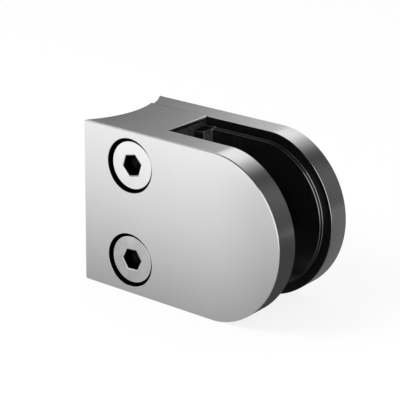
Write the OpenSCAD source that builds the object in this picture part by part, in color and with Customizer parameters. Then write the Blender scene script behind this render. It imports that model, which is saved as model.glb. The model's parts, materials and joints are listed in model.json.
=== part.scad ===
// Glass panel clamp: a D-shaped body and a rear cover hold a glass pane between
// two rubber gaskets, drawn together by two hex-socket screws. The concave end
// seats on a round post and takes one bolt from the slot.
// Frame: X along the clamp towards its nose, Y across it towards the rear cover,
// Z up. The origin is at the middle of the underside of the bounding box.

/* [Clamp] */
// Overall length, from the corners at the post to the tip of the nose
clamp_length = 63; // [56:0.5:80]
// Overall height
clamp_height = 45; // [42:0.5:60]
// Overall thickness, across both cheeks
clamp_thickness = 30; // [28:0.5:36]
// Thickness of each cheek
cheek_thickness = 6.8; // [6.2:0.1:8]
// Length of the mounting block, from the corners at the post to the slot floor
block_length = 22.8; // [21.5:0.1:28]
// Radius of the shoulders, where the long edges turn into the nose
shoulder_radius = 17.7; // [10:0.1:20]
// How much larger than half the height the radius of the nose is
nose_ease = 0.64; // [0.2:0.02:2]
// Width of the broken edges along each cheek
edge_break = 0.35; // [0.1:0.05:0.6]
// Radius of the ground corner at the foot of the post end
foot_round = 1; // [0.2:0.1:3]

/* [Post seat] */
// Diameter of the round post that the saddle fits
post_diameter = 50.8; // [42.4:0.1:76.1]
// How far the end of the rear cover stays clear of the post
cover_relief = 0.8; // [0.2:0.1:1.5]
// Diameter of the hole for the post bolt
bolt_hole = 9; // [8.4:0.1:10]
// Diameter of the counterbore for the head of the post bolt
bolt_head_hole = 14; // [12:0.5:15]
// Depth of that counterbore, from the slot floor
bolt_head_depth = 6; // [3:0.5:8]

/* [Clamping screws] */
// Distance of the screw axes from the corners at the post
screw_setback = 15.7; // [14:0.1:16.5]
// Distance of each screw axis from the nearer long edge
screw_edge = 9.4; // [8.5:0.1:10]
// Outer diameter of the thread
screw_diameter = 8; // [6:0.5:8.5]
// Diameter of the head
head_diameter = 13; // [11:0.1:13.5]
// Height of the head
head_height = 5; // [4:0.1:5.4]
// Width of the broken edge round the head and at the tip
screw_break = 0.4; // [0.2:0.1:0.8]
// How deep the top of the head lies under the front face
head_recess = 0.7; // [0.2:0.1:1]
// Gap all round the head in its counterbore
head_gap = 0.85; // [0.2:0.05:1]
// Gap all round the shank in the body
shank_gap = 0.5; // [0.2:0.05:0.8]
// Gap all round the shank in the tapped hole of the cover
thread_gap = 0.05; // [0.02:0.01:0.09]
// Metal between the screw tips and the back face of the cover
tip_cover = 2.2; // [1.6:0.1:3]
// Free depth past the screw tips in the tapped holes
tip_room = 0.6; // [0.2:0.1:1]
// Hex socket of the screws, across the flats
key_size = 5; // [4:0.5:6]
// Depth of the hex socket
key_depth = 3; // [2:0.1:3.2]
// Turn of the upper socket, in degrees
upper_key_turn = 13; // [0:1:59]
// Turn of the lower socket, in degrees
lower_key_turn = 4; // [0:1:59]

/* [Gaskets] */
// Distance of the gaskets from the outline of the cheeks
gasket_inset = 2.3; // [1:0.1:4]
// Thickness of the pad on each cheek
pad_thickness = 1.8; // [1:0.1:3]
// Width of the broken edges of the rubber
rubber_break = 0.3; // [0.1:0.05:0.4]
// Thickness of the lip that the edge of the glass meets
lip_thickness = 2.8; // [1.5:0.1:4]
// How far each lip reaches over the slot floor, from its cheek
lip_reach = 5.5; // [4:0.1:6.5]
// Radius of the free corner of each lip
lip_round = 1.2; // [0.3:0.1:1.4]
// Diameter of the studs that hold each gasket in its cheek
stud_diameter = 4; // [3:0.5:6]
// Length of the studs
stud_length = 3; // [2:0.1:4]
// Gap all round a stud and past its end
stud_gap = 0.1; // [0.05:0.05:0.3]
// Distance of the studs from the slot floor
stud_setback = 17; // [12:0.5:20]
// Distance of the studs from the nearer long edge
stud_edge = 12.5; // [9:0.5:15]

/* [Hidden] */
$fn = 96;
// How far a cutting shape runs past the face it opens
past = 2;
steel = [0.77, 0.77, 0.78];
cover_steel = [0.72, 0.72, 0.73];
screw_steel = [0.84, 0.84, 0.85];
rubber = [0.07, 0.07, 0.07];

// Main planes
x_post = -clamp_length / 2;
x_floor = x_post + block_length;
x_nose = clamp_length / 2;
y_front = -clamp_thickness / 2;
y_rear = clamp_thickness / 2;
y_parting = y_rear - cheek_thickness;
z_middle = clamp_height / 2;

// Outline: the shoulder arcs and the nose arc meet without a kink
nose_radius = clamp_height / 2 + nose_ease;
shoulder_rise = clamp_height / 2 - shoulder_radius;
shoulder_run = sqrt(pow(nose_radius - shoulder_radius, 2) - pow(shoulder_rise, 2));
x_shoulder = x_nose - nose_radius + shoulder_run;
far_run = 5 * shoulder_run;
far_rise = 6 * shoulder_rise;

// Saddle: the post touches both corners of the end
saddle_radius = post_diameter / 2;
x_post_axis = x_post - sqrt(pow(saddle_radius, 2) - pow(clamp_thickness / 2, 2));

// Screws
x_screw = x_post + screw_setback;
z_lower_screw = screw_edge;
z_upper_screw = clamp_height - screw_edge;
y_head = y_front + head_recess;
y_seat = y_head + head_height;
y_tip = y_rear - tip_cover;

// Studs
x_stud = x_floor + stud_setback;

// Turns a shape drawn along Z so that it runs along Y
module along_y() {
    rotate([-90, 0, 0]) children();
}

// Turns a shape drawn along Z so that it runs along X
module along_x() {
    rotate([90, 0, 90]) children();
}

// Half section of a plate, out to a rim with both edges broken
module rim_section(radius, thickness, broken) {
    polygon([
        [0, 0],
        [radius - broken, 0],
        [radius, broken],
        [radius, thickness - broken],
        [radius - broken, thickness],
        [0, thickness]
    ]);
}

// Round plate about an axis along Y
module rim_disc(x, z, radius, thickness, broken) {
    translate([x, 0, z]) rotate([90, 0, 0]) translate([0, 0, -thickness]) rotate_extrude()
        rim_section(radius, thickness, broken);
}

// Keeps what lies inside an outline given by corners [x, z above the middle]
module wedge(thickness, corners) {
    intersection() {
        children();
        translate([0, thickness + past, z_middle]) rotate([90, 0, 0])
            linear_extrude(thickness + 2 * past) polygon(corners);
    }
}

// Straight part of a plate, of the given length up to x = 0
module straight_part(length, thickness, inset, broken) {
    low = inset;
    high = clamp_height - inset;
    translate([-length, 0, 0]) along_x() linear_extrude(length)
        polygon([
            [broken, low],
            [thickness - broken, low],
            [thickness, low + broken],
            [thickness, high - broken],
            [thickness - broken, high],
            [broken, high],
            [0, high - broken],
            [0, low + broken]
        ]);
}

// D-shaped plate between y = 0 and its thickness, drawn in from the outline by inset
module d_plate(from, thickness, inset, broken) {
    nose = nose_radius - inset;
    shoulder = shoulder_radius - inset;
    translate([x_shoulder, 0, 0]) {
        straight_part(x_shoulder - from, thickness, inset, broken);
        wedge(thickness, [[-shoulder_run, 0], [far_run, far_rise], [clamp_length, far_rise],
                [clamp_length, -far_rise], [far_run, -far_rise]])
            rim_disc(-shoulder_run, z_middle, nose, thickness, broken);
        for (side = [-1, 1])
            wedge(thickness, [[0, side * shoulder_rise], [far_run, side * far_rise], [0, side * far_rise]])
                rim_disc(0, z_middle + side * shoulder_rise, shoulder, thickness, broken);
    }
}

// Full-height block behind the slot, from one Y to another, its slot edges broken
module block(from, to) {
    translate([0, to, 0]) rotate([90, 0, 0]) linear_extrude(to - from)
        polygon([
            [x_post, 0],
            [x_floor - edge_break, 0],
            [x_floor, edge_break],
            [x_floor, clamp_height - edge_break],
            [x_floor - edge_break, clamp_height],
            [x_post, clamp_height]
        ]);
}

// Hollow that the post leaves in the end of the clamp
module post_hollow(clearance) {
    translate([x_post_axis, 0, -past]) cylinder(r = saddle_radius + clearance, h = clamp_height + 2 * past);
}

// What is ground away at the foot of the front cheek's end
module foot_corner() {
    translate([x_post, y_front + cheek_thickness, 0]) rotate([90, 0, 0])
        linear_extrude(cheek_thickness + past) difference() {
            translate([-past, -past]) square(foot_round + past);
            translate([foot_round, foot_round]) circle(r = foot_round);
        }
}

// Counterbore and shank hole of one clamping screw
module screw_hole(z) {
    translate([x_screw, y_front - past, z]) along_y()
        cylinder(d = head_diameter + 2 * head_gap, h = y_seat - y_front + past);
    translate([x_screw, y_front, z]) along_y()
        cylinder(d = screw_diameter + 2 * shank_gap, h = clamp_thickness);
}

// Blind tapped hole of one clamping screw in the cover
module tapped_hole(z) {
    translate([x_screw, y_parting - past, z]) along_y()
        cylinder(d = screw_diameter + 2 * thread_gap, h = y_tip + tip_room - y_parting + past);
}

// Hole for the post bolt, with the counterbore for its head
module post_bolt_hole() {
    translate([x_post, 0, z_middle]) along_x() cylinder(d = bolt_hole, h = block_length + past);
    translate([x_floor - bolt_head_depth, 0, z_middle]) along_x()
        cylinder(d = bolt_head_hole, h = bolt_head_depth + past);
}

// The two studs of a gasket, from the plane y = 0 into the cheek, or their holes
module studs(gap) {
    for (z = [stud_edge, clamp_height - stud_edge])
        translate([x_stud, 0, z]) along_y() cylinder(d = stud_diameter + 2 * gap, h = stud_length + gap);
}

module main_body() {
    color(steel) difference() {
        union() {
            translate([0, y_front, 0]) d_plate(x_post, cheek_thickness, 0, edge_break);
            block(y_front + cheek_thickness / 2, y_parting);
        }
        post_hollow(0);
        foot_corner();
        screw_hole(z_lower_screw);
        screw_hole(z_upper_screw);
        post_bolt_hole();
        translate([0, -y_parting, 0]) mirror([0, 1, 0]) studs(stud_gap);
    }
}

module rear_cover() {
    color(cover_steel) difference() {
        union() {
            translate([0, y_parting, 0]) d_plate(x_post, cheek_thickness, 0, edge_break);
            block(y_parting, y_parting + cheek_thickness / 2);
        }
        post_hollow(cover_relief);
        tapped_hole(z_lower_screw);
        tapped_hole(z_upper_screw);
        translate([0, y_parting, 0]) studs(stud_gap);
    }
}

// Section of the lip: one corner rounded, from the cheek at y = 0 to its free end
module lip_section() {
    translate([0, -lip_reach]) union() {
        translate([0, lip_round]) square([lip_thickness, lip_reach - lip_round]);
        square([lip_thickness - lip_round, lip_reach]);
        translate([lip_thickness - lip_round, lip_round]) circle(r = lip_round);
    }
}

// Gasket of the rear cheek: pad, lip over the slot floor and two studs
module gasket() {
    translate([0, y_parting - pad_thickness, 0]) d_plate(x_floor, pad_thickness, gasket_inset, rubber_break);
    translate([x_floor, y_parting, gasket_inset])
        linear_extrude(clamp_height - 2 * gasket_inset) lip_section();
    translate([0, y_parting, 0]) studs(0);
}

module rear_gasket() {
    color(rubber) gasket();
}

module front_gasket() {
    color(rubber) mirror([0, 1, 0]) gasket();
}

// Hex socket with a broken mouth and a drill point, going up into the head from z = 0
module hex_socket(turn) {
    corners = key_size / cos(30);
    drill = key_size - screw_break;
    rotate([0, 0, turn]) translate([0, 0, -past])
        cylinder(d = corners, h = key_depth + past, $fn = 6);
    translate([0, 0, key_depth]) cylinder(d1 = drill, d2 = 0, h = drill / 2 * tan(30));
    translate([0, 0, -screw_break / 2]) cylinder(
        d1 = corners + screw_break,
        d2 = corners - screw_break,
        h = screw_break);
}

// Clamping screw with its head at y_head, its shank towards the cover
module screw(z, turn) {
    head = head_diameter / 2;
    shank = screw_diameter / 2;
    reach = y_tip - y_head;
    color(screw_steel) translate([x_screw, y_head, z]) along_y() difference() {
        rotate_extrude() polygon([
            [0, 0],
            [head - screw_break, 0],
            [head, screw_break],
            [head, head_height],
            [shank, head_height],
            [shank, reach - 2 * screw_break],
            [shank - 2 * screw_break, reach],
            [0, reach]
        ]);
        hex_socket(turn);
    }
}

module upper_screw() {
    screw(z_upper_screw, -upper_key_turn);
}

module lower_screw() {
    screw(z_lower_screw, -lower_key_turn);
}

main_body();
rear_cover();
front_gasket();
rear_gasket();
upper_screw();
lower_screw();
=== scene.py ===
"""Looks of the glass panel clamp: steel body and cover, rubber pads, hex-socket screws.

Each piece is worked in millimetres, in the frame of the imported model, and is brought
to metres when it is done.
"""

import json
import logging
import math
from dataclasses import dataclass, field
from enum import Enum
from typing import Any, Callable

import bmesh
import bpy
from mathutils import Matrix, Vector


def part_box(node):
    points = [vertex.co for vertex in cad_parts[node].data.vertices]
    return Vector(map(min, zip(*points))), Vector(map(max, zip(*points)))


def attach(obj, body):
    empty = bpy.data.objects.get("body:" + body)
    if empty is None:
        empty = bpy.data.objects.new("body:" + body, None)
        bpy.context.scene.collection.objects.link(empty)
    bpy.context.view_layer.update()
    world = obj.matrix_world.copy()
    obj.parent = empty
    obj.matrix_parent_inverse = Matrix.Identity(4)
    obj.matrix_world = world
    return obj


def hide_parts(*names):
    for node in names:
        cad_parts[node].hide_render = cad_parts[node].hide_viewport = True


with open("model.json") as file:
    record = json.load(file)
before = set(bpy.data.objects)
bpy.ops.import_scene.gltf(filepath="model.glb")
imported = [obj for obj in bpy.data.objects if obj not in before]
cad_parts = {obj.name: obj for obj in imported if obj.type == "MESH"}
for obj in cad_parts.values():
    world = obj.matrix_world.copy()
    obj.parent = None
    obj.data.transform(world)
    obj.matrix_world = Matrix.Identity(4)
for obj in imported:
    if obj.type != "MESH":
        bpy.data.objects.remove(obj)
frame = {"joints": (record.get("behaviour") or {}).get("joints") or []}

log = logging.getLogger("glass_panel_clamp")

Triple = tuple[float, float, float]
Pair = tuple[float, float]
Pairs = tuple[Pair, ...]

MM = 0.001
UP = Vector((0, 0, 1))
ALONG = Vector((1, 0, 0))
ACROSS = Vector((0, 1, 0))
# In millimetres: points nearer than this are one, and cutting shapes run this far past.
CLOSE = 1e-3
PAST = 5.0
# Arcs turn by this much a step, but those shorter than 4 mm have ten steps.
ARC_STEP = math.radians(1.25)
SHORT_ARC, SHORT_STEPS = 4.0, 10


class Work(Enum):
    """Ways to work one solid with another."""

    ADD = "UNION"
    CUT = "DIFFERENCE"
    KEEP = "INTERSECT"


class Side(Enum):
    """The two sides of the glass, by the sign of Y."""

    FRONT = -1
    REAR = 1


# ---------------------------------------------------------------- solids


class Outline:
    """A line of edges that grows point by point and arc by arc."""

    def __init__(self, start: Vector) -> None:
        """Starts the line.

        Args:
            start: The first point, in millimetres.
        """
        self.mesh = bmesh.new()
        self.tip = bmesh.ops.create_vert(self.mesh, co=start)["vert"][0]

    def to(self, *points: Vector) -> "Outline":
        """Draws straight edges through the points, in order.

        Args:
            points: Where the edges end, in millimetres.

        Returns:
            The outline itself.
        """
        for point in points:
            grown = bmesh.ops.extrude_vert_indiv(self.mesh, verts=[self.tip])
            self.tip = grown["verts"][0]
            self.tip.co = point
        return self

    def arc(self, centre: Vector, axis: Vector, angle: float) -> "Outline":
        """Draws an arc from the tip.

        Args:
            centre: Centre of the arc.
            axis: Axis that the arc turns round.
            angle: Angle of the arc, in radians, by the right-hand rule.

        Returns:
            The outline itself.
        """
        length = abs(angle) * (self.tip.co - centre).length
        steps = SHORT_STEPS if length < SHORT_ARC else max(3, round(abs(angle) / ARC_STEP))
        spun = bmesh.ops.spin(
            self.mesh, geom=[self.tip], cent=centre, axis=axis, angle=angle, steps=steps
        )
        self.tip = next(g for g in spun["geom_last"] if isinstance(g, bmesh.types.BMVert))
        return self

    def face(self) -> bmesh.types.BMesh:
        """Closes the line and fills it with one face.

        Returns:
            The mesh that holds the face.
        """
        self.mesh.verts.ensure_lookup_table()
        first = self.mesh.verts[0]
        if (first.co - self.tip.co).length > CLOSE:
            bmesh.ops.contextual_create(self.mesh, geom=[self.tip, first])
        bmesh.ops.remove_doubles(self.mesh, verts=self.mesh.verts[:], dist=CLOSE)
        bmesh.ops.contextual_create(self.mesh, geom=self.mesh.edges[:])
        return self.mesh


class Solid:
    """A closed mesh in millimetres that is cut, joined and rounded."""

    def __init__(self, mesh: bmesh.types.BMesh) -> None:
        """Takes over a mesh.

        Args:
            mesh: A closed mesh, in millimetres.
        """
        self.mesh = mesh

    @classmethod
    def prism(cls, outline: Outline, rise: Vector) -> "Solid":
        """Pulls a closed outline along a vector.

        Args:
            outline: The section.
            rise: How far and which way it is pulled.

        Returns:
            The solid.
        """
        mesh = outline.face()
        pulled = bmesh.ops.extrude_face_region(mesh, geom=mesh.faces[:], use_keep_orig=True)
        moved = [g for g in pulled["geom"] if isinstance(g, bmesh.types.BMVert)]
        bmesh.ops.translate(mesh, verts=moved, vec=rise)
        bmesh.ops.recalc_face_normals(mesh, faces=mesh.faces[:])
        return cls(mesh)

    @classmethod
    def turned(cls, outline: Outline, centre: Vector, axis: Vector, steps: int) -> "Solid":
        """Turns an open half section, whose ends lie on the axis, into a solid.

        Args:
            outline: The half section.
            centre: A point on the axis.
            axis: Direction of the axis.
            steps: Number of facets round the axis.

        Returns:
            The solid.
        """
        mesh = outline.mesh
        bmesh.ops.spin(
            mesh,
            geom=mesh.verts[:] + mesh.edges[:],
            cent=centre,
            axis=axis,
            angle=2 * math.pi,
            steps=steps,
            use_merge=True,
        )
        bmesh.ops.remove_doubles(mesh, verts=mesh.verts[:], dist=CLOSE)
        bmesh.ops.recalc_face_normals(mesh, faces=mesh.faces[:])
        return cls(mesh)

    def stock(self, name: str) -> bpy.types.Object:
        """Puts the mesh on an object in the scene, unscaled.

        Args:
            name: Name of the object.

        Returns:
            The object.
        """
        data = bpy.data.meshes.new(name)
        self.mesh.to_mesh(data)
        made = bpy.data.objects.new(name, data)
        bpy.context.scene.collection.objects.link(made)
        return made

    def work(self, tool: "Solid", how: Work) -> "Solid":
        """Cuts, joins or trims this solid by another.

        Args:
            tool: The other solid.
            how: What is done with it.

        Returns:
            The solid itself, worked.
        """
        blank, cutter = self.stock("blank"), tool.stock("cutter")
        step = blank.modifiers.new("work", "BOOLEAN")
        step.operation = how.value
        step.solver = "EXACT"
        step.object = cutter
        graph = bpy.context.evaluated_depsgraph_get()
        result = bpy.data.meshes.new_from_object(blank.evaluated_get(graph), depsgraph=graph)
        self.mesh.free()
        tool.mesh.free()
        self.mesh = bmesh.new()
        self.mesh.from_mesh(result)
        bmesh.ops.remove_doubles(self.mesh, verts=self.mesh.verts[:], dist=CLOSE / 10)
        for used in (blank, cutter):
            data = used.data
            bpy.data.objects.remove(used)
            bpy.data.meshes.remove(data)
        bpy.data.meshes.remove(result)
        return self

    def split(self, place: Vector, normal: Vector, trim: bool = False) -> list[bmesh.types.BMEdge]:
        """Splits the faces along a plane.

        Args:
            place: A point on the plane.
            normal: Normal of the plane.
            trim: Whether all that lies past the plane is cleared away.

        Returns:
            The edges on the plane.
        """
        cut = bmesh.ops.bisect_plane(
            self.mesh,
            geom=self.mesh.verts[:] + self.mesh.edges[:] + self.mesh.faces[:],
            dist=CLOSE / 10,
            plane_co=place,
            plane_no=normal,
            clear_outer=trim,
        )
        return [g for g in cut["geom_cut"] if isinstance(g, bmesh.types.BMEdge)]

    def round_edges(
        self,
        width: float,
        wanted: Callable[[bmesh.types.BMEdge], bool],
        segments: int = 5,
        sharper: float = math.radians(30),
    ) -> "Solid":
        """Rounds sharp edges.

        Args:
            width: Width of the rounding on each face.
            wanted: Says whether an edge is to be rounded.
            segments: Facets across the rounding.
            sharper: Only edges that turn by more than this are rounded.

        Returns:
            The solid itself.
        """
        edges = [
            e
            for e in self.mesh.edges
            if e.is_manifold and e.calc_face_angle() > sharper and wanted(e)
        ]
        bmesh.ops.bevel(
            self.mesh,
            geom=edges,
            offset=width,
            offset_type="OFFSET",
            segments=segments,
            profile=0.5,
            affect="EDGES",
            clamp_overlap=False,
            material=-1,
        )
        return self

    def piece(
        self, name: str, finish: bpy.types.Material, crease: float = math.radians(35)
    ) -> bpy.types.Object:
        """Brings the solid to metres and makes the finished object.

        Args:
            name: Name of the piece.
            finish: Its material.
            crease: Edges that turn by more than this stay sharp.

        Returns:
            The object, at the origin.
        """
        bmesh.ops.triangulate(self.mesh, faces=[f for f in self.mesh.faces if len(f.verts) > 4])
        bmesh.ops.scale(self.mesh, vec=Vector((MM, MM, MM)), verts=self.mesh.verts[:])
        for face in self.mesh.faces:
            face.smooth = True
        for edge in self.mesh.edges:
            edge.smooth = edge.is_manifold and edge.calc_face_angle() < crease
        made = self.stock(name)
        self.mesh.free()
        made.data.materials.append(finish)
        even = made.modifiers.new("even normals", "WEIGHTED_NORMAL")
        even.weight = 100
        even.keep_sharp = True
        return made


# ---------------------------------------------------------------- shading


class Value:
    """A number that varies over a surface; each operator adds its Math node."""

    def __init__(self, graph: "Graph", socket: bpy.types.NodeSocket) -> None:
        """Wraps a socket.

        Args:
            graph: The graph that the socket is in.
            socket: The output that gives the number.
        """
        self.graph = graph
        self.socket = socket

    def _math(self, operation: str, *terms: Any) -> "Value":
        """Adds a Math node.

        Args:
            operation: Its operation.
            terms: Its terms, as numbers or values.

        Returns:
            Its result.
        """
        sockets = dict(enumerate(terms))
        node = self.graph.node("ShaderNodeMath", {"operation": operation}, sockets)
        return Value(self.graph, node.outputs[0])

    def __add__(self, other: Any) -> "Value":
        """Sum."""
        return self._math("ADD", self, other)

    def __radd__(self, other: Any) -> "Value":
        """Sum, with this on the right."""
        return self._math("ADD", other, self)

    def __sub__(self, other: Any) -> "Value":
        """Difference."""
        return self._math("SUBTRACT", self, other)

    def __rsub__(self, other: Any) -> "Value":
        """Difference, with this on the right."""
        return self._math("SUBTRACT", other, self)

    def __mul__(self, other: Any) -> "Value":
        """Product."""
        return self._math("MULTIPLY", self, other)

    def __rmul__(self, other: Any) -> "Value":
        """Product, with this on the right."""
        return self._math("MULTIPLY", other, self)

    def __abs__(self) -> "Value":
        """Size without the sign."""
        return self._math("ABSOLUTE", self)

    def __truediv__(self, other: Any) -> "Value":
        """Quotient."""
        return self._math("DIVIDE", self, other)

    def __rtruediv__(self, other: Any) -> "Value":
        """Quotient, with this on the right."""
        return self._math("DIVIDE", other, self)

    def step(self, start: float, end: float) -> "Value":
        """Soft step from 0 at the start to 1 at the end.

        Args:
            start: Where the step starts; it may lie after the end.
            end: Where the step ends.

        Returns:
            The step.
        """
        node = self.graph.node(
            "ShaderNodeMapRange",
            {"interpolation_type": "SMOOTHSTEP"},
            {"Value": self, "From Min": start, "From Max": end},
        )
        return Value(self.graph, node.outputs[0])


class Graph:
    """A node tree that is written as expressions."""

    def __init__(self, tree: bpy.types.NodeTree) -> None:
        """Empties a node tree.

        Args:
            tree: The tree of a material or a world.
        """
        self.tree = tree
        tree.nodes.clear()

    def node(
        self,
        kind: str,
        settings: dict[str, Any] | None = None,
        sockets: dict[Any, Any] | None = None,
    ) -> bpy.types.Node:
        """Adds a node.

        Args:
            kind: Type of the node.
            settings: Its settings, set first; "stops" gives a ramp's (place, colour) pairs.
            sockets: Values or links of its sockets, by name or number.

        Returns:
            The node.
        """
        made = self.tree.nodes.new(kind)
        for name, value in (settings or {}).items():
            if name == "stops":
                self._stops(made.color_ramp, value)
            else:
                setattr(made, name, value)
        for name, value in (sockets or {}).items():
            self._feed(made.inputs[name], value)
        return made

    @staticmethod
    def _stops(
        ramp: bpy.types.ColorRamp, stops: list[tuple[float, tuple[float, float, float, float]]]
    ) -> None:
        """Gives a ramp its stops.

        Args:
            ramp: A new ramp, which has two stops.
            stops: Pairs of a place from 0 to 1 and a colour.
        """
        ramp.elements.remove(ramp.elements[1])
        ramp.elements[0].position, ramp.elements[0].color = stops[0]
        for place, colour in stops[1:]:
            ramp.elements.new(place).color = colour

    def _feed(self, socket: bpy.types.NodeSocket, value: Any) -> None:
        """Links a socket, or sets it.

        Args:
            socket: The input.
            value: A value, node or socket to link, or what the input is set to.
        """
        if isinstance(value, Value):
            value = value.socket
        if isinstance(value, bpy.types.Node):
            value = value.outputs[0]
        if isinstance(value, bpy.types.NodeSocket):
            self.tree.links.new(value, socket)
        else:
            socket.default_value = value

    def point(self) -> bpy.types.NodeSocket:
        """Object coordinates, in metres."""
        return self.node("ShaderNodeTexCoord").outputs["Object"]

    def axis(self, name: str) -> Value:
        """The object coordinate along one axis, in metres; the name is X, Y or Z."""
        return Value(self, self.node("ShaderNodeSeparateXYZ", {}, {0: self.point()}).outputs[name])

    def places(self, scale: Triple) -> bpy.types.Node:
        """Object coordinates, scaled per metre along X, Y and Z."""
        return self.node("ShaderNodeMapping", {}, {"Vector": self.point(), "Scale": scale})

    def vector(self, operation: str, *terms: Any) -> bpy.types.Node:
        """Adds a Vector Math node with the given operation and vectors."""
        return self.node("ShaderNodeVectorMath", {"operation": operation}, dict(enumerate(terms)))

    def measure(self, operation: str, *terms: Any) -> Value:
        """Number that a Vector Math node gives, such as a length or a dot product."""
        return Value(self, self.vector(operation, *terms).outputs["Value"])

    def rays(self, *kinds: str) -> Value:
        """Tells kinds of rays apart.

        Args:
            kinds: Kinds of rays, such as Camera or Glossy.

        Returns:
            1 for a ray of one of the kinds, 0 for any other.
        """
        path = self.node("ShaderNodeLightPath")
        return sum(Value(self, path.outputs[f"Is {kind} Ray"]) for kind in kinds)

    def noise(self, places: Any, detail: float = 2, rough: float = 0.5) -> Value:
        """Noise from 0 to 1 at the given places.

        Args:
            places: Vector that the noise is read at.
            detail: Octaves of the noise.
            rough: Weight of the finer octaves.

        Returns:
            The noise.
        """
        node = self.node(
            "ShaderNodeTexNoise",
            {"noise_dimensions": "3D"},
            {"Vector": places, "Scale": 1.0, "Detail": detail, "Roughness": rough},
        )
        return Value(self, node.outputs[0])

    def tone(self, mask: Value, low: Any, high: Any) -> bpy.types.NodeSocket:
        """Blends two colours.

        Args:
            mask: 0 gives the low colour, 1 the high one.
            low: Colour at 0, as three numbers or a socket.
            high: Colour at 1, as three numbers or a socket.

        Returns:
            The colour's socket.
        """
        first, last = ((*c, 1) if isinstance(c, tuple) else c for c in (low, high))
        node = self.node("ShaderNodeMix", {"data_type": "RGBA"}, {0: mask, 6: first, 7: last})
        return node.outputs[2]

    def relief(self, height: Value, strength: float, depth: float) -> bpy.types.Node:
        """Bump from a height.

        Args:
            height: Height from 0 to 1.
            strength: Strength of the bump.
            depth: Depth of the relief, in metres.

        Returns:
            The Bump node.
        """
        return self.node(
            "ShaderNodeBump", {}, {"Height": height, "Strength": strength, "Distance": depth}
        )

    def surface(self, sockets: dict[str, Any]) -> None:
        """Ends a material with a Principled surface.

        Args:
            sockets: Values or links of the Principled node's sockets.
        """
        shader = self.node("ShaderNodeBsdfPrincipled", {}, sockets)
        self.node("ShaderNodeOutputMaterial", {}, {"Surface": shader})


def new_graph(name: str) -> tuple[bpy.types.Material, Graph]:
    """Makes an empty material.

    Args:
        name: Name of the material.

    Returns:
        The material and its graph.
    """
    material = bpy.data.materials.new(name)
    material.use_nodes = True
    return material, Graph(material.node_tree)


@dataclass(frozen=True)
class Recess:
    """Round recess whose inside is painted dark, from just inside its mouth to its depth: painted
    shade.
    """

    centre: Triple
    axis: Triple
    radius: float
    start: float
    fade: float
    depth: float

    def mask(self, g: Graph) -> Value:
        """Where the inside is.

        Args:
            g: Graph of the material.

        Returns:
            1 deep inside the recess, 0 outside.
        """
        offset = g.vector("SUBTRACT", g.point(), self.centre)
        along = g.measure("DOT_PRODUCT", offset, self.axis)
        flat = g.vector("MULTIPLY", offset, tuple(1.0 - abs(c) for c in self.axis))
        reach = g.measure("LENGTH", flat)
        inside = reach.step(self.radius + 0.05 * MM, self.radius - 0.02 * MM)
        inside = inside * along.step(self.start, self.start + self.fade)
        return inside * along.step(self.depth + 0.1 * MM, self.depth + 0.05 * MM)


@dataclass(frozen=True)
class Seam:
    """Parting line between body and cover, painted dark: painted shade in the gap between the
    parts.
    """

    y: float
    end: float
    middle: float
    width: float = 0.11 * MM
    shade_zone: float = 0.12 * MM
    corner: float = 0.16 * MM
    thinning: float = 12 * MM
    least: float = 0.25

    def mask(self, g: Graph) -> Value:
        """Where the painted shade lies: on the top and bottom, and in the slot's corner.

        Args:
            g: Graph of the material.

        Returns:
            1 on the parting line, 0 away from it.
        """
        off, along = abs(g.axis("Y") - self.y), g.axis("X")
        rise = abs(g.axis("Z") - self.middle)
        # The painted shade is full towards the post and thins towards the slot.
        painted_strength = along.step(self.end, self.end - self.thinning)
        line = off.step(self.width, self.width * 0.6) * (self.least + (1 - self.least) * painted_strength)
        line = line * rise.step(self.middle - self.shade_zone, self.middle - self.shade_zone / 2)
        line = line * along.step(self.end + self.shade_zone, self.end)
        fade = self.corner * 1.3
        return line + off.step(fade, self.corner) * abs(along - self.end).step(fade, self.corner)


@dataclass(frozen=True)
class Slot:
    """Inside of the slot, painted dark: painted shade, with its floor lighter."""

    x_floor: float
    half_width: float
    middle: float
    edge: float = 0.03 * MM
    shade: float = 0.1
    shade_to: float = 0.7 * MM
    bare_from: float = 1.3 * MM

    def mask(self, g: Graph) -> Value:
        """Where the slot's painted shade is.

        Args:
            g: Graph of the material.

        Returns:
            1 inside the slot, 0 outside.
        """
        inner = abs(g.axis("Y")).step(self.half_width + self.edge, self.half_width)
        return inner * g.axis("X").step(self.x_floor - self.edge, self.x_floor)

    def floor(self, g: Graph) -> Value:
        """Where the floor of the slot is lighter; just under its edges it keeps more of the
        painted shade.

        Args:
            g: Graph of the material.

        Returns:
            1 on the floor, less just under its edges, 0 on the cheeks.
        """
        rise = abs(g.axis("Z") - self.middle)
        bare = rise.step(self.middle - self.shade_to, self.middle - self.bare_from)
        bare = self.shade + (1 - self.shade) * bare
        return bare * g.axis("X").step(self.x_floor + 4 * self.edge, self.x_floor + self.edge)


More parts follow.
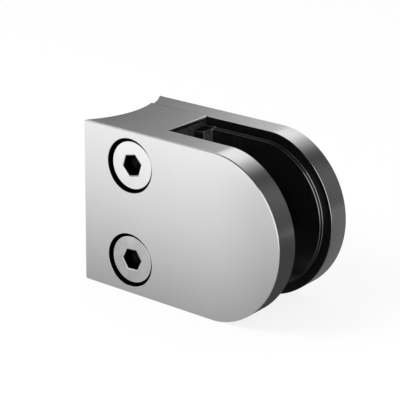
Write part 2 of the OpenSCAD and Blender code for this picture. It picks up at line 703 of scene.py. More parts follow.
@dataclass(frozen=True)
class PolishedSteel:
    """Buffed faces, with fine lines that run along the ground rims, and painted shade in the
    recesses, along the parting line and inside the slot.
    """

    slot: Slot
    recesses: tuple[Recess | Seam, ...] = ()
    name: str = "polished_steel"
    low: Triple = (0.81, 0.81, 0.815)
    high: Triple = (0.85, 0.85, 0.85)
    painted_shade: Triple = (0.012, 0.012, 0.012)
    slot_shade_low: Triple = (0.07, 0.07, 0.07)
    slot_shade_high: Triple = (0.62, 0.62, 0.62)
    roughness: float = 0.13
    line_roughness: float = 0.08
    cloud_roughness: float = 0.03
    shade_roughness: float = 0.3
    slot_roughness: float = 0.2
    line_scale: Triple = (90.0, 5200.0, 90.0)
    patch_scale: Triple = (150.0, 800.0, 1100.0)
    patch_low: float = 0.55
    patch_band: Pair = (0.35, 0.65)
    cloud_scale: float = 120.0
    grain_scale: float = 5000.0
    bump: float = 0.12
    bump_depth: float = 0.012 * MM

    def make(self) -> bpy.types.Material:
        """Makes the material.

        Returns:
            The material.
        """
        material, g = new_graph(self.name)
        lines = g.noise(g.places(self.line_scale), 3, 0.6)
        clouds = g.noise(g.places((self.cloud_scale,) * 3), 3)
        grain = g.noise(g.places((self.grain_scale,) * 3), 2)
        bare = g.tone(clouds, self.low, self.high)
        # Painted shade: the slot's inside is painted dark, and its floor lighter in random
        # patches.
        shade_zone = self.slot.mask(g)
        patches = g.noise(g.places(self.patch_scale), 3).step(*self.patch_band)
        patches = (self.patch_low + (1 - self.patch_low) * patches) * self.slot.floor(g)
        bare = g.tone(shade_zone, bare, g.tone(patches, self.slot_shade_low, self.slot_shade_high))
        # Painted shade in the recesses and along the parting line.
        shade_mask = sum(recess.mask(g) for recess in self.recesses)
        roughness = self.roughness + self.line_roughness * lines + self.cloud_roughness * clouds
        g.surface(
            {
                "Base Color": g.tone(shade_mask, bare, self.painted_shade),
                "Metallic": 1.0,
                "Roughness": roughness + self.shade_roughness * shade_mask + self.slot_roughness * shade_zone,
                "Normal": g.relief(lines + 0.3 * grain, self.bump, self.bump_depth),
            }
        )
        return material


@dataclass(frozen=True)
class TurnedSteel:
    """Lathe-turned screw steel, with fine rings round the screw's axis and painted shade inside
    the hex socket.
    """

    centre: Triple
    socket: Recess
    name: str
    low: Triple
    high: Triple
    painted_shade: Triple = (0.012, 0.012, 0.012)
    roughness: float = 0.16
    ring_roughness: float = 0.08
    cloud_roughness: float = 0.04
    shade_roughness: float = 0.3
    ring_scale: float = 5200.0
    cloud_scale: float = 260.0
    worn_band: Pair = (0.35, 0.65)
    bump: float = 0.12
    bump_depth: float = 0.012 * MM

    def make(self) -> bpy.types.Material:
        """Makes the material.

        Returns:
            The material.
        """
        material, g = new_graph(self.name)
        flat = g.vector("MULTIPLY", g.vector("SUBTRACT", g.point(), self.centre), (1, 0, 1))
        reach = g.measure("LENGTH", flat)
        rings = g.noise(g.node("ShaderNodeCombineXYZ", {}, {"X": reach * self.ring_scale}), 2)
        clouds = g.noise(g.places((self.cloud_scale,) * 3), 2)
        worn = (0.5 * clouds + 0.5 * rings).step(*self.worn_band)
        # Painted shade inside the hex socket.
        shade_mask = self.socket.mask(g)
        roughness = self.roughness + self.ring_roughness * rings + self.cloud_roughness * clouds
        g.surface(
            {
                "Base Color": g.tone(shade_mask, g.tone(worn, self.low, self.high), self.painted_shade),
                "Metallic": 1.0,
                "Roughness": roughness + self.shade_roughness * shade_mask,
                "Normal": g.relief(rings, self.bump, self.bump_depth),
            }
        )
        return material


@dataclass(frozen=True)
class MouldedRubber:
    """Black rubber: matt at a glance, with a waxy gloss where it is seen head-on.

    The wax is worn towards the post, but for the ends of the lips, whose end faces are painted
    lighter in noisy patches: painted light.
    """

    x_lip: float
    name: str = "black_rubber"
    low: Triple = (0.003, 0.003, 0.003)
    high: Triple = (0.006, 0.006, 0.006)
    lip_painted_light: Triple = (0.12, 0.12, 0.12)
    index: float = 1.03
    roughness: float = 0.5
    grain_roughness: float = 0.12
    cloud_roughness: float = 0.06
    wax_roughness: float = 0.16
    wax_index: float = 3.4
    gloss_band: Pair = (0.6, 0.25)
    worn: float = 0.3
    worn_band: Pair = (10 * MM, 22 * MM)
    lip_wax: float = 0.45
    lip_band: Pair = (0.08 * MM, 0.03 * MM)
    lip_light_reach: Pair = (0.25 * MM, 0.08 * MM)
    lip_light_band: Pair = (0.2, 0.7)
    grain_scale: float = 4200.0
    lip_light_scale: float = 700.0
    cloud_scale: float = 300.0
    bump: float = 0.15
    bump_depth: float = 0.03 * MM

    def make(self) -> bpy.types.Material:
        """Makes the material.

        Returns:
            The material.
        """
        material, g = new_graph(self.name)
        grain = g.noise(g.places((self.grain_scale,) * 3), 3, 0.6)
        clouds = g.noise(g.places((self.cloud_scale,) * 3), 2)
        turned = g.node("ShaderNodeLayerWeight", {}, {"Blend": 0.5})
        gloss = Value(g, turned.outputs["Facing"]).step(*self.gloss_band)
        along = g.axis("X")
        off = abs(along - self.x_lip)
        wax = self.worn + (1 - self.worn) * along.step(*self.worn_band)
        wax = wax + self.lip_wax * off.step(*self.lip_band)
        # Painted light: the lips' end faces are lighter in noisy patches.
        painted_strength = g.noise(g.places((self.lip_light_scale,) * 3), 3).step(*self.lip_light_band)
        painted_strength = painted_strength * off.step(*self.lip_light_reach)
        g.surface(
            {
                "Base Color": g.tone(painted_strength, g.tone(clouds, self.low, self.high), self.lip_painted_light),
                "Roughness": self.roughness
                + self.grain_roughness * grain
                + self.cloud_roughness * clouds,
                "IOR": self.index,
                "Coat Weight": wax * gloss,
                "Coat Roughness": self.wax_roughness,
                "Coat IOR": self.wax_index,
                "Normal": g.relief(grain, self.bump, self.bump_depth),
            }
        )
        return material


# ---------------------------------------------------------------- the clamp


def corners(node: str) -> tuple[Vector, Vector]:
    """Lowest and highest corner of a node of the frame, in millimetres.

    Args:
        node: Name of the node.

    Returns:
        Both corners.
    """
    low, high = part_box(node)
    return low / MM, high / MM


@dataclass
class Layout:
    """Planes, axes and radii that the pieces share, in millimetres."""

    shoulder_radius: float = 17.7
    nose_radius: float = 23.14
    post_radius: float = 25.4
    x_post: float = field(init=False)
    x_nose: float = field(init=False)
    x_floor: float = field(init=False)
    y_front: float = field(init=False)
    y_rear: float = field(init=False)
    y_parting: float = field(init=False)
    height: float = field(init=False)
    pad_inset: float = field(init=False)

    def __post_init__(self) -> None:
        """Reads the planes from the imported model."""
        low, high = corners("main_body")
        self.x_post, self.x_nose = low.x, high.x
        self.y_front, self.y_parting = low.y, high.y
        self.height = high.z
        self.y_rear = corners("rear_cover")[1].y
        pad_low = corners("front_gasket")[0]
        self.x_floor, self.pad_inset = pad_low.x, pad_low.z

    @property
    def middle(self) -> float:
        """Height of the level plane through the nose."""
        return self.height / 2

    @property
    def rise(self) -> float:
        """How far the shoulders' centres lie above and below the middle."""
        return self.middle - self.shoulder_radius

    @property
    def run(self) -> float:
        """How far the nose's centre lies behind the shoulders' centres."""
        return math.sqrt((self.nose_radius - self.shoulder_radius) ** 2 - self.rise**2)

    @property
    def x_shoulder(self) -> float:
        """Where the straight edges end."""
        return self.x_nose - self.nose_radius + self.run

    @property
    def x_axis(self) -> float:
        """Axis of the post."""
        return self.x_post - math.sqrt(self.post_radius**2 - self.y_rear**2)

    def side_outline(self, start: float, inset: float) -> Outline:
        """D-shaped outline of the clamp seen from the side, drawn in front of it.

        Args:
            start: X of the straight end.
            inset: How far it is drawn in.

        Returns:
            The open outline, all but its straight end.
        """
        y, shoulder, turn = self.y_front - PAST, self.x_shoulder, -ACROSS
        lean = math.atan2(self.rise, self.run)
        return (
            Outline(Vector((start, y, inset)))
            .to(Vector((shoulder, y, inset)))
            .arc(Vector((shoulder, y, self.middle - self.rise)), turn, math.pi / 2 - lean)
            .arc(Vector((shoulder - self.run, y, self.middle)), turn, 2 * lean)
            .arc(Vector((shoulder, y, self.middle + self.rise)), turn, math.pi / 2 - lean)
            .to(Vector((start, y, self.height - inset)))
        )

    def milled(self, plan: Outline, start: float, inset: float = 0) -> Solid:
        """Block with a plan's shape from above and the clamp's D shape from the side.

        Args:
            plan: Plan outline, drawn at z = -PAST.
            start: X of the straight end of the D.
            inset: How far the D is drawn in.

        Returns:
            The solid.
        """
        through = ACROSS * (self.y_rear - self.y_front + 2 * PAST)
        side = Solid.prism(self.side_outline(start, inset), through)
        return Solid.prism(plan, UP * (self.height + 2 * PAST)).work(side, Work.KEEP)

    def saddle_x(self, radius: float, y: float) -> float:
        """X of a concave end of the given radius at y."""
        return self.x_axis + math.sqrt(radius**2 - y**2)


def on_plane(edge: bmesh.types.BMEdge, axis: int, place: float) -> bool:
    """Whether an edge lies in the plane at a place along one axis (0 is X, 1 is Y)."""
    return all(abs(v.co[axis] - place) < CLOSE for v in edge.verts)


def drill(
    steps: list[tuple[float, float]],
    centre: Vector,
    axis: Vector,
    facets: int = 120,
    corner: Vector | None = None,
) -> Solid:
    """A stepped drill, or a broach, from its sections along an axis.

    Args:
        steps: Pairs of distance along the axis from the centre, and radius.
        centre: Where distances are taken from.
        axis: Direction that it drills in.
        facets: Facets round it.
        corner: Direction of its first corner; any, if it is not given.

    Returns:
        The drill as a solid.
    """
    out = corner or (UP if abs(axis.z) < 0.5 else ALONG)
    outline = Outline(centre + axis * steps[0][0])
    outline.to(*[centre + axis * along + out * radius for along, radius in steps])
    outline.to(centre + axis * steps[-1][0])
    return Solid.turned(outline, centre, axis, facets)


@dataclass
class ScrewPlace:
    """Place, sizes and tones of one clamping screw, in millimetres and degrees."""

    node: str
    joint: str
    body: str
    turn: float
    shift: float
    low: Triple = (0.92, 0.92, 0.92)
    high: Triple = (0.96, 0.96, 0.96)
    head_height: float = 5.0
    shank_radius: float = 3.98
    pitch: float = 1.25
    minor: float = 3.32
    crest: float = 0.16
    root: float = 0.31
    facets: int = 40
    x: float = field(init=False)
    z: float = field(init=False)
    y_head: float = field(init=False)
    y_tip: float = field(init=False)
    head_radius: float = field(init=False)

    def __post_init__(self) -> None:
        """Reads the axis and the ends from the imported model."""
        joint = next(j for j in frame["joints"] if j["name"] == self.joint)
        self.x, _, self.z = (c / MM for c in joint["pos_m"])
        low, high = corners(self.node)
        self.y_head, self.y_tip = low.y, high.y
        self.head_radius = (high.x - low.x) / 2

    @property
    def y_seat(self) -> float:
        """Underside of the head."""
        return self.y_head + self.head_height

    def at(self, y: float) -> Vector:
        """Point on the axis at y."""
        return Vector((self.x, y, self.z))

    def thread(self, start: float, end: float, gap: float) -> Solid:
        """Screw thread between two planes.

        Args:
            start: Y of its first plane.
            end: Y of its last plane.
            gap: Added to its radii.

        Returns:
            A solid rod with the thread on it.
        """
        turns = math.ceil((end - start) / self.pitch) + 2
        first = self.y_head - self.pitch
        while first + self.pitch < start - self.pitch:
            first += self.pitch
        minor, major = self.minor + gap, self.shank_radius + gap
        flank = (self.pitch - self.crest - self.root) / 2
        outline = Outline(self.at(first) + UP * minor)
        outline.to(
            self.at(first + self.root) + UP * minor,
            self.at(first + self.root + flank) + UP * major,
            self.at(first + self.root + flank + self.crest) + UP * major,
            self.at(first + self.pitch) + UP * minor,
        )
        rod = Solid(outline.mesh)
        bmesh.ops.spin(
            rod.mesh,
            geom=rod.mesh.verts[:] + rod.mesh.edges[:],
            cent=self.at(0),
            axis=ACROSS,
            dvec=ACROSS * (self.pitch / self.facets),
            angle=2 * math.pi * turns,
            steps=self.facets * turns,
        )
        bmesh.ops.remove_doubles(rod.mesh, verts=rod.mesh.verts[:], dist=CLOSE * 5)
        for place, outward in ((start, -ACROSS), (end, ACROSS)):
            bmesh.ops.contextual_create(rod.mesh, geom=rod.split(self.at(place), outward, True))
        bmesh.ops.recalc_face_normals(rod.mesh, faces=rod.mesh.faces[:])
        return rod


@dataclass
class SteelBody:
    """Front cheek and mounting block in one piece."""

    layout: Layout
    screws: list[ScrewPlace]
    rim: float = 0.27
    parting_rim: float = 0.03
    foot: float = 1.0
    inner_rim: float = 0.13
    floor_rim: float = 0.6
    head_gap: float = 0.85
    shank_gap: float = 0.5
    mouth: float = 0.07
    bolt_radius: float = 4.5
    bolt_head_radius: float = 7.0
    bolt_head_depth: float = 6.0
    stud_radius: float = 2.1
    stud_depth: float = 3.1
    stud_setback: float = 17.0
    stud_edge: float = 12.5
    stud_facets: int = 48

    def blank(self) -> Solid:
        """Milled blank: the plan's shape within the side's outline.

        Returns:
            The solid.
        """
        at = self.layout
        z, end = -PAST, at.x_nose + PAST
        cheek = -at.y_parting
        seat = at.saddle_x(at.post_radius, at.y_parting)
        low = math.asin(at.y_front / at.post_radius)
        high = math.asin(at.y_parting / at.post_radius)
        plan = Outline(Vector((at.x_post, at.y_front, z))).to(
            Vector((end, at.y_front, z)),
            Vector((end, cheek, z)),
            Vector((at.x_floor, cheek, z)),
            Vector((at.x_floor, at.y_parting, z)),
            Vector((seat, at.y_parting, z)),
        )
        plan.arc(Vector((at.x_axis, 0, z)), UP, low - high)
        return at.milled(plan, at.x_post - PAST)

    def at_post(self, edge: bmesh.types.BMEdge) -> bool:
        """Whether an edge lies at the end that faces the post, clear of the parting plane.

        Args:
            edge: An edge of the blank.

        Returns:
            Whether it does.
        """
        at = self.layout
        end = all(v.co.x < at.saddle_x(at.post_radius, 0) + 1 for v in edge.verts)
        return end and not on_plane(edge, 1, at.y_parting)

    def foot_tool(self) -> Solid:
        """What is ground away at the foot of the cheek's end.

        Returns:
            The solid.
        """
        at = self.layout
        corner = Vector((at.x_post, at.y_front - 1, 0))
        outline = Outline(corner + Vector((-2, 0, -2))).to(
            corner + Vector((self.foot, 0, -2)), corner + Vector((self.foot, 0, 0))
        )
        outline.arc(corner + Vector((self.foot, 0, self.foot)), ACROSS, math.pi / 2)
        outline.to(corner + Vector((-2, 0, self.foot)))
        return Solid.prism(outline, ACROSS * (1 - at.y_parting - at.y_front))

    def screw_tool(self, screw: ScrewPlace) -> Solid:
        """Counterbore and shank hole of one clamping screw.

        Args:
            screw: The screw.

        Returns:
            The drill.
        """
        at = self.layout
        wide = screw.head_radius + self.head_gap
        narrow = screw.shank_radius + self.shank_gap
        steps = [
            (at.y_front - 2, wide + self.mouth + 2),
            (at.y_front + self.mouth, wide),
            (screw.y_seat, wide),
            (screw.y_seat, narrow + self.mouth),
            (screw.y_seat + self.mouth, narrow),
            (at.y_parting + 2, narrow),
        ]
        return drill(steps, screw.at(0) - ALONG * screw.shift, ACROSS)

    def bolt_tool(self) -> Solid:
        """Hole and counterbore for the post bolt.

        Returns:
            The drill.
        """
        at = self.layout
        wide = self.bolt_head_radius
        steps = [
            (at.x_post, self.bolt_radius),
            (at.x_floor - self.bolt_head_depth, self.bolt_radius),
            (at.x_floor - self.bolt_head_depth, wide),
            (at.x_floor - self.mouth, wide),
            (at.x_floor + 2, wide + self.mouth + 2),
        ]
        return drill(steps, Vector((0, 0, at.middle)), ALONG)

    def recesses(self) -> tuple[Recess | Seam, ...]:
        """Insides of the body's wide holes and the parting line, where its finish paints shade.

        Returns:
            The recesses and the seam, in metres.
        """
        at, margin = self.layout, 0.1
        made = [
            Recess(
                tuple((s.at(at.y_front) - ALONG * s.shift) * MM),
                tuple(ACROSS),
                radius=(s.head_radius + self.head_gap + margin) * MM,
                start=0.01 * MM,
                fade=0.08 * MM,
                depth=(s.y_seat - at.y_front) * MM,
            )
            for s in self.screws
        ]
        mouth = Vector((at.x_floor, 0, at.middle)) * MM
        wide, deep = (self.bolt_head_radius + margin) * MM, self.bolt_head_depth * MM
        made.append(
            Recess(tuple(mouth), tuple(-ALONG), wide, start=0.1 * MM, fade=1.2 * MM, depth=deep)
        )
        made.append(Seam(at.y_parting * MM, at.x_floor * MM, at.middle * MM))
        return tuple(made)

    def stud_places(self, y: float) -> list[Vector]:
        """Where the axes of one pad's studs meet the plane at y."""
        x, height = self.layout.x_floor + self.stud_setback, self.layout.height
        return [Vector((x, y, z)) for z in (self.stud_edge, height - self.stud_edge)]

    def stud_tools(self, y: float, way: float) -> list[Solid]:
        """Holes for the studs of one pad.

        Args:
            y: Y of the face that they are drilled in.
            way: Sign of Y that they go in.

        Returns:
            The two drills.
        """
        steps = [(-1, self.stud_radius), (self.stud_depth, self.stud_radius)]
        places, away = self.stud_places(y), ACROSS * way
        return [drill(steps, place, away, self.stud_facets) for place in places]

    def build(self, finish: bpy.types.Material) -> bpy.types.Object:
        """Makes the piece.

        Args:
            finish: Its material.

        Returns:
            The object.
        """
        at = self.layout
        solid = self.blank()
        parting, cheek = at.y_parting, -at.y_parting
        solid.round_edges(self.inner_rim, lambda e: e.is_convex and on_plane(e, 1, cheek))
        solid.round_edges(
            self.floor_rim,
            lambda e: e.is_convex and on_plane(e, 0, at.x_floor) and not on_plane(e, 1, parting),
        )
        solid.round_edges(
            self.rim,
            lambda e: e.is_convex and (on_plane(e, 1, at.y_front) or self.at_post(e)),
        )
        solid.round_edges(self.parting_rim, lambda e: e.is_convex and on_plane(e, 1, parting), 2)
        solid.work(self.foot_tool(), Work.CUT)
        for tool in [self.screw_tool(s) for s in self.screws] + [self.bolt_tool()]:
            solid.work(tool, Work.CUT)
        for tool in self.stud_tools(-at.y_parting, Side.FRONT.value):
            solid.work(tool, Work.CUT)
        made = solid.piece("body_steel", finish)
        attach(made, "body")
        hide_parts("main_body")
        return made


@dataclass
class RearCover:
    """Cheek behind the glass, drawn to the block by the screws."""

    layout: Layout
    screws: list[ScrewPlace]
    shop: SteelBody
    relief: float = 0.8
    tip_room: float = 0.6
    thread_gap: float = 0.05
    run_out: float = 0.5

    def blank(self) -> Solid:
        """Milled blank: the plan's shape within the side's outline.

        Returns:
            The solid.
        """
        at = self.layout
        z, end = -PAST, at.x_nose + PAST
        radius = at.post_radius + self.relief
        near, far = at.y_parting, at.y_rear
        plan = Outline(Vector((at.saddle_x(radius, near), near, z))).to(
            Vector((end, near, z)),
            Vector((end, far, z)),
            Vector((at.saddle_x(radius, far), far, z)),
        )
        plan.arc(Vector((at.x_axis, 0, z)), UP, math.asin(near / radius) - math.asin(far / radius))
        return at.milled(plan, at.x_post - PAST)

    def inner(self, edge: bmesh.types.BMEdge) -> bool:
        """Whether an edge lies on the parting plane."""
        return on_plane(edge, 1, self.layout.y_parting)

    def at_glass(self, edge: bmesh.types.BMEdge) -> bool:
        """Whether an edge is a convex one of the inner face, past the block."""
        past = any(v.co.x >= self.layout.x_floor + CLOSE for v in edge.verts)
        return edge.is_convex and self.inner(edge) and past

    def at_block(self, edge: bmesh.types.BMEdge) -> bool:
        """Whether an edge is a convex one of the inner face, clear of the slot."""
        clear = all(v.co.x < self.layout.x_floor - CLOSE for v in edge.verts)
        return edge.is_convex and self.inner(edge) and clear

    def build(self, finish: bpy.types.Material) -> bpy.types.Object:
        """Makes the piece.

        Args:
            finish: Its material.

        Returns:
            The object.
        """
        at, shop = self.layout, self.shop
        solid = self.blank()
        for place in (at.x_floor, at.x_floor - self.run_out):
            solid.split(ALONG * place, ALONG)
        solid.round_edges(shop.inner_rim, self.at_glass)
        solid.round_edges(shop.rim, lambda e: e.is_convex and not self.inner(e))
        solid.round_edges(shop.parting_rim, self.at_block, 2)
        for screw in self.screws:
            end = screw.y_tip + self.tip_room
            solid.work(screw.thread(at.y_parting - 2, end, self.thread_gap), Work.CUT)
        for tool in shop.stud_tools(at.y_parting, Side.REAR.value):
            solid.work(tool, Work.CUT)
        made = solid.piece("cover_steel", finish)
        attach(made, "cover")
        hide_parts("rear_cover")
        return made


@dataclass
class RubberPad:
    """Pad on one cheek, with a lip over the slot floor and two studs."""

    layout: Layout
    shop: SteelBody
    side: Side
    node: str
    body: str
    thickness: float = 1.5
    lip_thickness: float = 2.8
    lip_reach: float = 5.5
    lip_round: float = 0.8
    fillet: float = 0.3
    rim: float = 0.25
    ledge: float = 0.2
    base: float = 0.6
    stud_gap: float = 0.1
    stud_break: float = 0.3

    @property
    def x_lip(self) -> float:
        """Face of the lip that the glass meets."""
        return self.layout.x_floor + self.lip_thickness

    @property
    def cheek(self) -> float:
        """Y of the cheek that the pad is on."""
        return self.layout.y_parting * self.side.value

    def base_layer(self) -> Solid:
        """Wider half of the pad, next to the cheek.

        Returns:
            The solid.
        """
        at, low, end = self.layout, -PAST, self.layout.x_nose + PAST
        top = self.cheek - self.base * self.side.value
        plan = Outline(Vector((at.x_floor, self.cheek, low))).to(
            Vector((end, self.cheek, low)), Vector((end, top, low)), Vector((at.x_floor, top, low))
        )
        return at.milled(plan, at.x_floor - PAST, at.pad_inset)

    def top_layer(self) -> Solid:
        """Narrower part of the pad, with the lip.

        Returns:
            The solid.
        """
        at, low, end = self.layout, -PAST, self.layout.x_nose + PAST
        way, lip, cheek = self.side.value, self.x_lip, self.cheek
        face = cheek - self.thickness * way
        free = cheek - self.lip_reach * way
        turned = free + self.lip_round * way
        quarter = math.pi / 2 * way
        plan = Outline(Vector((at.x_floor, cheek, low))).to(
            Vector((end, cheek, low)),
            Vector((end, face, low)),
            Vector((lip + self.fillet, face, low)),
        )
        plan.arc(Vector((lip + self.fillet, face - self.fillet * way, low)), UP, quarter)
        plan.to(Vector((lip, turned, low)))
        plan.arc(Vector((lip - self.lip_round, turned, low)), UP, -quarter)
        plan.to(Vector((at.x_floor, free, low)))
        return at.milled(plan, at.x_floor - PAST, at.pad_inset + self.ledge)

    def studs(self) -> list[Solid]:
        """Studs that hold the pad in its cheek.

        Returns:
            The two studs.
        """
        shop = self.shop
        radius, end = shop.stud_radius - self.stud_gap, shop.stud_depth - self.stud_gap
        steps = [(-1, radius), (end - self.stud_break, radius), (end, radius - self.stud_break)]
        places, away = shop.stud_places(self.cheek), ACROSS * self.side.value
        return [drill(steps, place, away, shop.stud_facets) for place in places]

    def build(self, finish: bpy.types.Material) -> bpy.types.Object:
        """Makes the piece.

        Args:
            finish: Its material.

        Returns:
            The object.
        """
        at = self.layout
        solid = self.top_layer().work(self.base_layer(), Work.ADD)
        solid.round_edges(
            self.rim,
            lambda e: e.is_convex
            and not on_plane(e, 1, self.cheek)
            and not on_plane(e, 0, at.x_floor),
        )
        for stud in self.studs():
            solid.work(stud, Work.ADD)
        made = solid.piece(f"{self.side.name.lower()}_pad_rubber", finish)
        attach(made, self.body)
        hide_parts(self.node)
        return made


@dataclass
class ClampingScrew:
    """Screw with a low round head and a hex socket."""

    place: ScrewPlace
    key: float = 5.0
    key_depth: float = 3.0
    rim: float = 0.22
    mouth: float = 0.28
    lead_in: float = 0.3
    lead_depth: float = 0.08
    under_break: float = 0.15
    neck: float = 9.0
    neck_fillet: float = 0.25
    neck_taper: float = 0.7
    neck_overlap: float = 1.5
    tip: float = 0.9
    root_gap: float = 0.02
    drill_gap: float = 0.1
    drill_angle: float = math.radians(31)

    def head(self) -> Solid:
        """Turned head and plain neck.

        Returns:
            The solid.
        """
        at = self.place
        top, under = at.y_head, at.y_seat
        radius, shank = at.head_radius, at.shank_radius
        outline = Outline(at.at(top)).to(at.at(top) + UP * (radius - self.rim))
        outline.arc(at.at(top + self.rim) + UP * (radius - self.rim), ALONG, -math.pi / 2)
        outline.to(
            at.at(under - self.under_break) + UP * radius,
            at.at(under) + UP * (radius - self.under_break),
            at.at(under) + UP * (shank + self.neck_fillet),
            at.at(under + self.neck_fillet) + UP * shank,
            at.at(under + self.neck - self.neck_taper) + UP * shank,
            at.at(under + self.neck) + UP * (at.minor + self.root_gap),
            at.at(under + self.neck),
        )
        return Solid.turned(outline, at.at(0), ACROSS, 144)

    def socket_tools(self) -> list[Solid]:
        """Tools of the hex socket.

        Returns:
            The broach, with its broken mouth, and the drill's point.
        """
        at = self.place
        top = at.at(at.y_head)
        corner = self.key / 2 / math.cos(math.radians(30))
        first = Matrix.Rotation(-math.radians(at.turn), 3, ACROSS) @ ALONG
        past, lead = 1.0, corner + self.mouth
        steps = [
            (-past, lead + self.lead_in * (1 + past / self.lead_depth)),
            (self.lead_depth, lead),
            (self.lead_depth + self.mouth, corner),
            (self.key_depth, corner),
        ]
        drilled = self.key / 2 - self.drill_gap
        point = self.key_depth + drilled * math.tan(self.drill_angle)
        cone = [(self.key_depth - past, drilled), (self.key_depth, drilled), (point, 0.01)]
        return [drill(steps, top, ACROSS, 6, first), drill(cone, top, ACROSS, 96)]

    def shank(self) -> Solid:
        """Threaded shank with a broken tip.

        Returns:
            The solid.
        """
        at = self.place
        steps = [
            (at.y_seat + 1, at.shank_radius + 1),
            (at.y_tip - self.tip - 1, at.shank_radius + 1),
            (at.y_tip, at.shank_radius - self.tip),
        ]
        rod = at.thread(at.y_seat + self.neck - self.neck_overlap, at.y_tip + 0.5, 0)
        return rod.work(drill(steps, at.at(0), ACROSS, 96), Work.KEEP)

    def finish(self) -> bpy.types.Material:
        """Makes the screw's own finish, centred on its axis.

        Returns:
            The material.
        """
        at = self.place
        centre = tuple(at.at(at.y_head) * MM)
        reach, deep = self.key * 0.7 * MM, (self.key_depth + 2) * MM
        # Painted shade fills the hex socket.
        socket = Recess(centre, tuple(ACROSS), reach, start=0.09 * MM, fade=0.04 * MM, depth=deep)
        return TurnedSteel(centre, socket, f"{at.node}_steel", at.low, at.high).make()

    def build(self) -> bpy.types.Object:
        """Makes the piece.

        Returns:
            The object.
        """
        at = self.place
        solid = self.head()
        for tool in self.socket_tools():
            solid.work(tool, Work.CUT)
        solid.work(self.shank(), Work.ADD)
        made = solid.piece(f"{at.node}_turned", self.finish(), math.radians(12))
        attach(made, at.body)
        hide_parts(at.node)
        return made


# ---------------------------------------------------------------- studio


def panel(name: str, centre: Vector, right: Vector, up: Vector) -> bpy.types.Object:
    """A flat panel of the studio, its places in its vertices.

    Args:
        name: Name of the panel.
        centre: Its middle, in millimetres.
        right: From its left edge to its right edge, in millimetres.
        up: From its lower edge to its upper edge, in millimetres.

    Returns:
        The object, staged.
    """
    mesh = bmesh.new()
    bmesh.ops.create_grid(mesh, x_segments=1, y_segments=1, size=0.5)
    for vert in mesh.verts:
        vert.co = (centre + right * vert.co.x + up * vert.co.y) * MM
    data = bpy.data.meshes.new(name)
    mesh.to_mesh(data)
    mesh.free()
    made = bpy.data.objects.new(name, data)
    bpy.context.scene.collection.objects.link(made)
    return made


@dataclass(frozen=True)
class Card:
    """A flat reflector that only shows in the steel; its tone changes along one direction.

    The tones are pairs of a place along that direction, in millimetres, and a level. The
    shades, if there are any, scale them along a second direction.
    """

    name: str
    centre: Triple
    right: Triple
    up: Triple
    tones: Pairs
    way: Triple = (1, 0, 0)
    shades: Pairs = ()
    shade_way: Triple = (1, 0, 0)

    @staticmethod
    def ramp(g: Graph, way: Triple, tones: Pairs) -> bpy.types.NodeSocket:
        """Levels along a direction.

        Args:
            g: Graph of the material.
            way: The direction.
            tones: Pairs of a place along it, in millimetres, and a level.

        Returns:
            The socket with the levels.
        """
        first, last = tones[0][0], tones[-1][0]
        along = g.measure("DOT_PRODUCT", g.point(), Vector(way).normalized())
        stops = [((spot - first) / (last - first), (tone, tone, tone, 1)) for spot, tone in tones]
        share = (along / MM - first) / (last - first)
        return g.node("ShaderNodeValToRGB", {"stops": stops}, {0: share}).outputs["Color"]

    def place(self) -> bpy.types.Object:
        """Makes the card.

        Returns:
            The object.
        """
        made = panel(self.name, *(Vector(v) for v in (self.centre, self.right, self.up)))
        material, g = new_graph(self.name)
        tone = self.ramp(g, self.way, self.tones)
        shade = self.ramp(g, self.shade_way, self.shades) if self.shades else 1.0
        glow = g.node("ShaderNodeEmission", {}, {"Color": tone, "Strength": shade})
        g.node("ShaderNodeOutputMaterial", {}, {"Surface": glow})
        made.data.materials.append(material)
        made.visible_camera = False
        made.visible_diffuse = False
        made.visible_shadow = False
        made.visible_transmission = False
        return made


@dataclass(frozen=True)
class SoftLamp:
    """A square lamp that points at the clamp; the steel doesn't mirror it."""

    name: str
    place: Triple
    size: float
    power: float

    def hang(self) -> bpy.types.Object:
        """Makes the lamp.

        Returns:
            The object.
        """
        data = bpy.data.lights.new(self.name, "AREA")
        data.shape = "SQUARE"
        data.size = self.size * MM
        data.energy = self.power
        lamp = bpy.data.objects.new(self.name, data)
        lamp.location = Vector(self.place) * MM
        lamp.rotation_euler = (-lamp.location).to_track_quat("-Z", "Y").to_euler()
        lamp.visible_glossy = False
        bpy.context.scene.collection.objects.link(lamp)
        return lamp


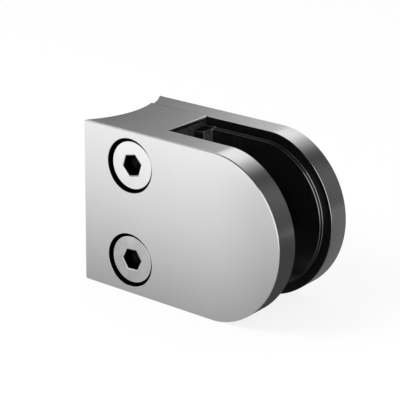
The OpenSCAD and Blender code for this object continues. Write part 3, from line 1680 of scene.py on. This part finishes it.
@dataclass
class Studio:
    """Pale table, white surround, soft lamp, cards and the camera, in millimetres."""

    target: Triple = (-4.48, 0.0, 24.74)
    distance: float = 406.1
    azimuth: float = 37.39
    elevation: float = 20.29
    roll: float = 0.9
    lens: float = 139.1
    sensor: float = 36.0
    seen_from: float = 10.0
    seen_to: float = 20000.0
    table_size: float = 6000.0
    table_drop: float = 0.05
    table_tone: Triple = (0.9, 0.9, 0.9)
    table_glow: float = 0.85
    sky_matt: float = 0.8
    lamp: SoftLamp = SoftLamp("key_lamp", (-260, -420, 520), 300, 3.0)
    cards: tuple[Card, ...] = (
        Card(
            "grey_wall",
            (-425, 330, 117),
            (550, 0, 0),
            (0, 0, 235),
            ((-700, 0.1), (-332, 0.11), (-304, 0.14), (-271, 0.23), (-244, 0.36), (-205, 0.62)),
            shades=((-700, 1.0), (-314, 1.0), (-307, 0.9), (0, 0.9)),
            shade_way=(1, 0, -1),
        ),
        Card(
            "bright_box",
            (-50, 325, 300),
            (380, 0, 0),
            (0, 0, 170),
            (
                (-240, 0.95),
                (-164, 1),
                (-80, 0.93),
                (-27, 0.66),
                (27, 0.36),
                (76, 0.12),
                (140, 0.04),
            ),
        ),
        Card(
            "dark_wall",
            (240, 345, 300),
            (780, 0, 0),
            (0, 0, 620),
            ((-150, 0.07), (160, 0.07), (228, 0.115), (284, 0.105), (334, 0.05), (630, 0.04)),
        ),
        Card(
            "dark_table",
            (200, 167, 0.15),
            (400, 0, 0),
            (0, 362, 0),
            ((-300, 0.055), (-9, 0.055), (-4, 0.15), (300, 0.15)),
            (-1, 1, 0),
        ),
        # Painted shadow: darker near the clamp's foot, as the clamp's contact shadow on the table
        # that the steel mirrors; its shades add a painted dark spot.
        Card(
            "painted_shadow_table",
            (-20, -64.8, 0.15),
            (260, 0, 0),
            (0, 100, 0),
            ((14.8, 0.42), (64.8, 0.77), (114.8, 1.0)),
            (0, -1, 0),
            ((-200, 1.0), (18, 1.0), (26, 0.89), (34, 0.7), (200, 0.7)),
            (1, -0.765, 0),
        ),
        Card(
            "overhead_flag",
            (0, -385, 420),
            (660, 0, 0),
            (0, 1230, 0),
            ((-330, 0.6), (-280, 0.6), (-212, 0.2), (-152, 0.05), (330, 0.05)),
        ),
        Card(
            "front_flag",
            (-280, -400, 190),
            (300, -210, 0),
            (0, 0, 250),
            ((-500, 0.04), (-100, 0.04)),
        ),
    )

    def table(self) -> bpy.types.Object:
        """Makes the pale table that keeps the clamp's shadow; from below it is clear.

        Returns:
            The object.
        """
        size = self.table_size
        made = panel("table", -UP * self.table_drop, ALONG * size, ACROSS * size)
        material, g = new_graph("pale_table")
        seen = self.table_glow * g.rays("Camera", "Glossy")
        board = g.node("ShaderNodeBsdfDiffuse", {}, {"Color": (*self.table_tone, 1)})
        white = g.node("ShaderNodeEmission", {}, {"Strength": 1.0})
        top = g.node("ShaderNodeMixShader", {}, {0: seen, 1: board, 2: white})
        below = g.node("ShaderNodeNewGeometry").outputs["Backfacing"]
        clear = g.node("ShaderNodeBsdfTransparent")
        sided = g.node("ShaderNodeMixShader", {}, {0: below, 1: top, 2: clear})
        g.node("ShaderNodeOutputMaterial", {}, {"Surface": sided})
        made.data.materials.append(material)
        return made

    def surround(self) -> None:
        """Makes the white surround; matt surfaces get it at a lower level."""
        world = bpy.data.worlds.new("surround")
        world.use_nodes = True
        bpy.context.scene.world = world
        g = Graph(world.node_tree)
        seen = g.rays("Camera", "Glossy", "Transmission")
        level = self.sky_matt + (1 - self.sky_matt) * seen
        sky = g.node("ShaderNodeBackground", {}, {"Color": (1, 1, 1, 1), "Strength": level})
        g.node("ShaderNodeOutputWorld", {}, {"Surface": sky})

    def camera(self) -> bpy.types.Object:
        """Makes the camera, a little above and to the right of the front.

        Returns:
            The object.
        """
        turn, lift = math.radians(self.azimuth), math.radians(self.elevation)
        back = Vector(
            (math.sin(turn) * math.cos(lift), -math.cos(turn) * math.cos(lift), math.sin(lift))
        )
        data = bpy.data.cameras.new("camera")
        data.lens = self.lens
        data.sensor_width = self.sensor
        data.clip_start, data.clip_end = self.seen_from * MM, self.seen_to * MM
        made = bpy.data.objects.new("camera", data)
        bpy.context.scene.collection.objects.link(made)
        made.location = (Vector(self.target) + back * self.distance) * MM
        made.rotation_mode = "QUATERNION"
        tilt = Matrix.Rotation(math.radians(self.roll), 3, "Z").to_quaternion()
        made.rotation_quaternion = (-back).to_track_quat("-Z", "Y") @ tilt
        bpy.context.scene.camera = made
        return made

    def build(self) -> None:
        """Sets up the whole studio."""
        self.table()
        self.surround()
        self.lamp.hang()
        for card in self.cards:
            card.place()
        self.camera()
        bpy.context.scene.view_settings.view_transform = "Standard"


def main() -> None:
    """Builds the clamp and its studio."""
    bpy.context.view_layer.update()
    layout = Layout()
    screws = [
        ScrewPlace("upper_screw", "upper_screw_turn", "top_screw", 13, 0.2),
        ScrewPlace(
            "lower_screw",
            "lower_screw_turn",
            "bottom_screw",
            4,
            0.08,
            # The lower screw's steel is darker than the upper one's: painted shade, a shaded copy
            # of the same steel.
            low=(0.7, 0.7, 0.7),
            high=(0.86, 0.86, 0.86),
        ),
    ]
    body = SteelBody(layout, screws)
    cover = RearCover(layout, screws, body)
    pads = [
        RubberPad(layout, body, Side.FRONT, "front_gasket", "body"),
        RubberPad(layout, body, Side.REAR, "rear_gasket", "cover"),
    ]
    slot = Slot(layout.x_floor * MM, layout.y_parting * MM, layout.middle * MM)
    steel = PolishedSteel(slot, body.recesses()).make()
    rubber = MouldedRubber(pads[0].x_lip * MM).make()
    made = [body.build(steel), cover.build(steel)]
    made += [pad.build(rubber) for pad in pads]
    made += [ClampingScrew(screw).build() for screw in screws]
    for piece in made:
        log.info("%s: %d faces", piece.name, len(piece.data.polygons))
    Studio().build()


if __name__ == "__main__":
    logging.basicConfig(level=logging.INFO, format="%(name)s: %(message)s")
    main()
